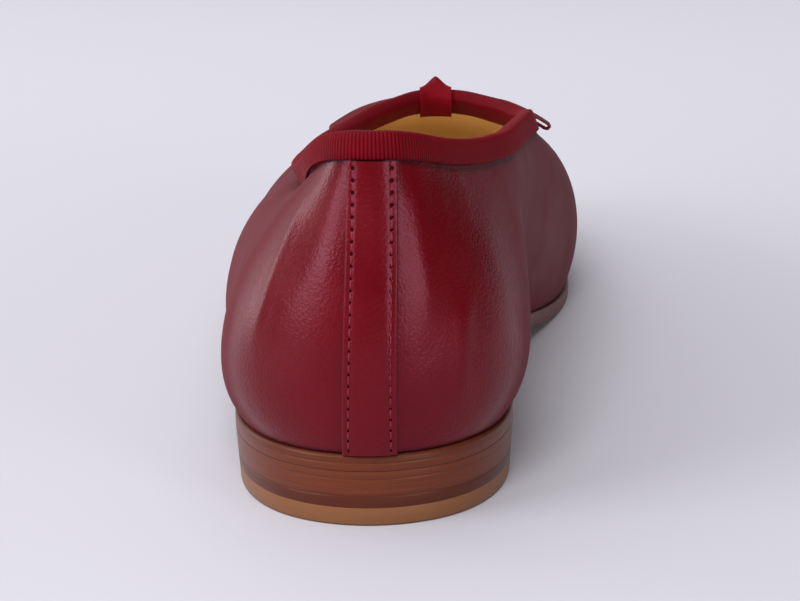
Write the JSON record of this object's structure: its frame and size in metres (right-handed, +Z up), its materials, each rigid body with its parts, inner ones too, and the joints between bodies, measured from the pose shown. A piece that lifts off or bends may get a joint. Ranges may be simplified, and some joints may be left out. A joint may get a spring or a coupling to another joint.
{
  "type": "ballet flat",
  "caption": "Woman's left ballet flat: burgundy leather upper, ribbon-bound collar with a flat bow, back strap, ochre lining and a low stacked leather heel.",
  "frame": {"origin": "centre of the shoe's bounding box, on the floor", "axes": "+X to the inner side of the foot, +Y from heel to toe, +Z up"},
  "size_m": [0.0792, 0.2476, 0.074],
  "materials": {
    "burgundy_leather": "smooth, soft sheen",
    "burgundy_ribbon": "ribbed, matt",
    "ochre_leather": "smooth, matt",
    "stacked_leather": "burnished edge",
    "dark_stacked_leather": "burnished edge",
    "tan_leather": "smooth, matt"
  },
  "bodies": {
    "root": {"upper": "burgundy_leather", "back_strap": "burgundy_leather", "collar_binding": "burgundy_ribbon", "bow_loop_inner": "burgundy_ribbon", "bow_loop_outer": "burgundy_ribbon", "bow_knot": "burgundy_ribbon", "insole": "ochre_leather", "outsole": "stacked_leather", "heel_main_lift": "stacked_leather", "heel_dark_lift": "dark_stacked_leather", "heel_top_piece": "tan_leather"}
  },
  "joints": []
}
